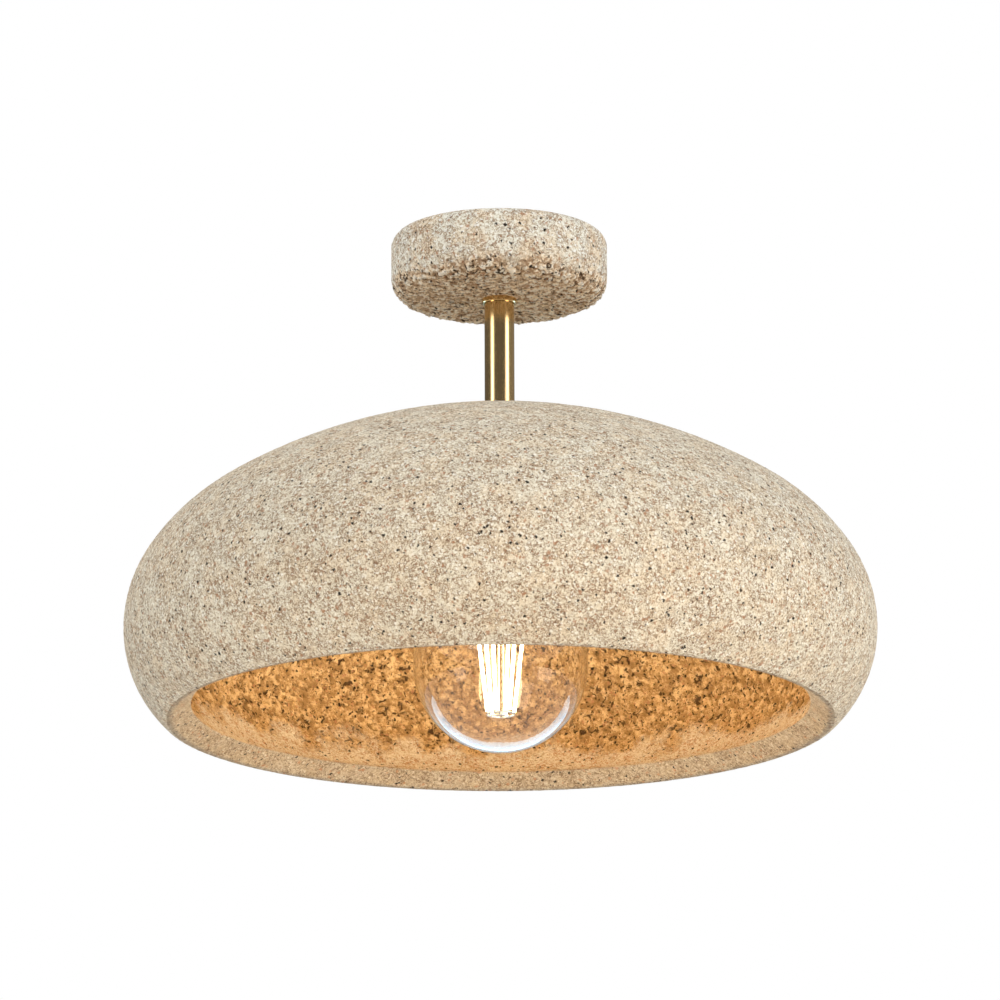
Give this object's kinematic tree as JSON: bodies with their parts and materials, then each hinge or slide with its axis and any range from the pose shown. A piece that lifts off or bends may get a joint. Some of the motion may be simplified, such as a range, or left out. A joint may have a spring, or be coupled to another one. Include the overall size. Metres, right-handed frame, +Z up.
{
  "type": "semi flush ceiling light",
  "caption": "Stone bowl shade on a short brass stem under a stone canopy cup, with an opening below for a screw-in globe lamp; the canopy slides down for wiring.",
  "frame": {"origin": "centre of the ceiling plane, between the bracket's two slots", "axes": "+Z up into the ceiling; the light hangs along -Z; the slots lie along X; -Y is the front"},
  "size_m": [0.4, 0.3998, 0.2844],
  "materials": {
    "stone": "matt cast stone, fine beige grain with small dark and rusty specks",
    "brass": "satin brushed brass",
    "zinc_steel": "zinc-plated steel",
    "black_steel": "blackened steel",
    "tinned_copper": "tinned copper",
    "rubber": "black rubber",
    "porcelain": "white porcelain",
    "nickel": "nickel-plated sheet",
    "solder": "solder",
    "black_glass": null,
    "clear_glass": "clear blown glass",
    "lit_filament": "phosphor-coated light-emitting strip, lit",
    "circuit_board": "green circuit board",
    "block_plastic": "natural polyamide",
    "brown_insulation": "brown wire insulation",
    "blue_insulation": "blue wire insulation",
    "green_insulation": "green and yellow wire insulation"
  },
  "bodies": {
    "fixture": {"shade": "stone", "stem_tube": "brass", "crown_washer": "brass", "holder_cap": "brass", "holder_body": "brass", "stem_top_bush": "brass", "stem_bottom_bush": "brass", "terminal_clamps": "brass", "holder_terminals": "brass", "ceiling_bracket": "zinc_steel", "top_lock_nut": "zinc_steel", "top_lock_washer": "zinc_steel", "top_nipple": "zinc_steel", "bottom_nipple": "zinc_steel", "clamp_washer": "zinc_steel", "clamp_nut": "zinc_steel", "earth_screw": "zinc_steel", "block_screw": "zinc_steel", "terminal_screws": "zinc_steel", "holder_terminal_screws": "zinc_steel", "holder_grub_screw": "zinc_steel", "earth_lug": "tinned_copper", "holder_tongue": "tinned_copper", "crown_gasket": "rubber", "clamp_gasket": "rubber", "holder_insert": "porcelain", "holder_shell": "nickel", "terminal_block": "block_plastic", "live_wire": "brown_insulation", "neutral_wire": "blue_insulation", "earth_wire": "green_insulation"},
    "canopy_cup": {"canopy": "stone", "canopy_bush": "brass", "canopy_inserts": "brass", "canopy_grub_screws": "black_steel"},
    "lamp_tip": {"bulb_contact": "solder"},
    "lamp": {"bulb_insulator": "black_glass", "bulb_shell": "nickel", "bulb_driver": "circuit_board", "bulb_globe": "clear_glass", "bulb_stem": "clear_glass", "bulb_upper_frame": "nickel", "bulb_filaments": "lit_filament", "bulb_lower_frame": "nickel"}
  },
  "joints": [
    {"name": "canopy_slide", "type": "slide", "parent": "fixture", "child": "canopy_cup", "axis": [0, 0, -1], "range_m": [0, 0.06]},
    {"name": "lamp_draw", "type": "slide", "parent": "fixture", "child": "lamp_tip", "axis": [0, 0, -1], "range_m": [0, 0.0128]},
    {"name": "lamp_turn", "type": "hinge", "parent": "lamp_tip", "child": "lamp", "pos_m": [0, 0, -0.148], "axis": [0, 0, -1], "range_deg": [0, 1260]}
  ],
  "couplings": [
    {"joint": "lamp_draw", "follows": "lamp_turn", "m_per_rad": 0.00057751}
  ]
}
